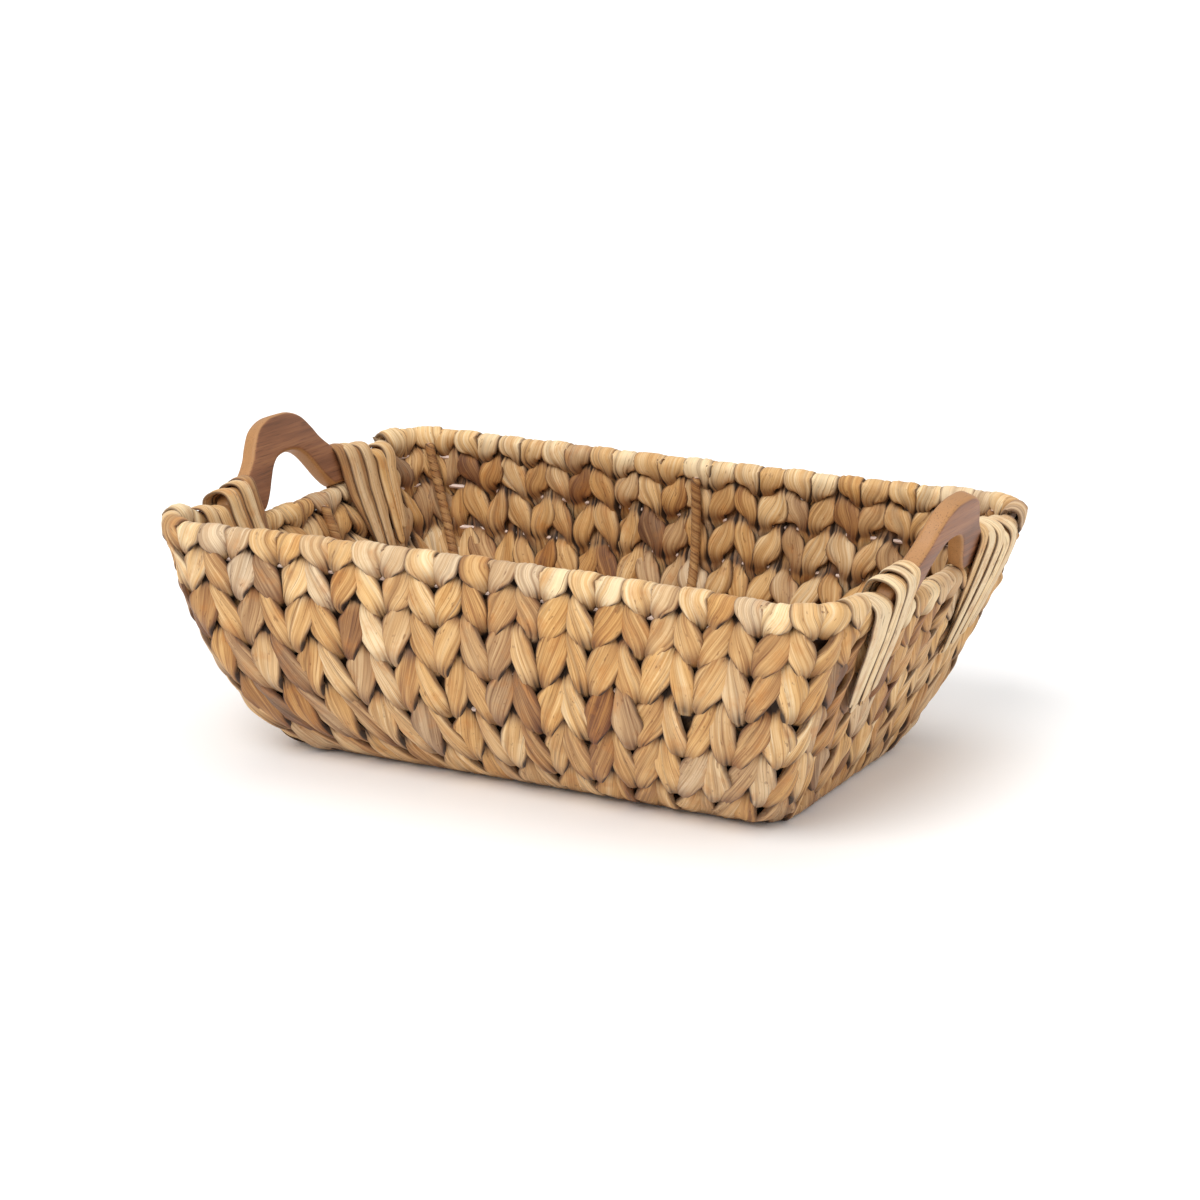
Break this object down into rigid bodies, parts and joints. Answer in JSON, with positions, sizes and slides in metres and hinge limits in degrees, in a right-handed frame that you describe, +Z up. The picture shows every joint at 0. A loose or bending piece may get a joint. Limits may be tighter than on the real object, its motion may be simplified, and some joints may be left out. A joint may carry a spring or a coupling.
{
  "type": "bread basket",
  "caption": "Shallow rectangular bread basket with flared sides: chunky braided leaf columns on a wire frame, a woven base and two bell-shaped wooden handles lashed to the short ends.",
  "frame": {"origin": "on the table, under the middle of the basket", "axes": "+X along the basket's length towards the right handle, +Y across it towards the back, +Z up"},
  "size_m": [0.4176, 0.2694, 0.1609],
  "materials": {
    "leaf_braid": "dried plant leaf, matt with a faint sheen, golden tan to grey-brown, creased lengthwise",
    "leaf_base": "dried plant leaf, matt, tan to brown, flat woven",
    "leaf_lashing": "dried plant leaf strips, pale cream tan, slightly glossy ridges",
    "handle_wood": "sawn and sanded hardwood, oiled matt, fine straight grain",
    "frame_wire": "steel wire with a pale beige coat, satin"
  },
  "bodies": {
    "root": {"base_mat": "leaf_base", "base_ring_wire": "frame_wire", "frame_rib_left": "frame_wire", "frame_rib_long": "frame_wire", "frame_rib_middle": "frame_wire", "frame_rib_right": "frame_wire", "handle_left": "handle_wood", "handle_right": "handle_wood", "hoop_wire_1": "frame_wire", "hoop_wire_2": "frame_wire", "hoop_wire_3": "frame_wire", "hoop_wire_4": "frame_wire", "hoop_wire_5": "frame_wire", "lashing_left_back": "leaf_lashing", "lashing_left_front": "leaf_lashing", "lashing_right_back": "leaf_lashing", "lashing_right_front": "leaf_lashing", "rim_wire": "frame_wire", "wall_braid_01": "leaf_braid", "wall_braid_02": "leaf_braid", "wall_braid_03": "leaf_braid", "wall_braid_04": "leaf_braid", "wall_braid_05": "leaf_braid", "wall_braid_06": "leaf_braid", "wall_braid_07": "leaf_braid", "wall_braid_08": "leaf_braid", "wall_braid_09": "leaf_braid", "wall_braid_10": "leaf_braid", "wall_braid_11": "leaf_braid", "wall_braid_12": "leaf_braid", "wall_braid_13": "leaf_braid", "wall_braid_14": "leaf_braid", "wall_braid_15": "leaf_braid", "wall_braid_16": "leaf_braid", "wall_braid_17": "leaf_braid", "wall_braid_18": "leaf_braid", "wall_braid_19": "leaf_braid", "wall_braid_20": "leaf_braid", "wall_braid_21": "leaf_braid", "wall_braid_22": "leaf_braid", "wall_braid_23": "leaf_braid", "wall_braid_24": "leaf_braid", "wall_braid_25": "leaf_braid", "wall_braid_26": "leaf_braid", "wall_braid_27": "leaf_braid", "wall_braid_28": "leaf_braid", "wall_braid_29": "leaf_braid", "wall_braid_30": "leaf_braid", "wall_braid_31": "leaf_braid", "wall_braid_32": "leaf_braid", "wall_braid_33": "leaf_braid", "wall_braid_34": "leaf_braid", "wall_braid_35": "leaf_braid", "wall_braid_36": "leaf_braid", "wall_braid_37": "leaf_braid", "wall_braid_38": "leaf_braid", "wall_braid_39": "leaf_braid", "wall_braid_40": "leaf_braid", "wall_braid_41": "leaf_braid", "wall_braid_42": "leaf_braid"}
  },
  "joints": []
}
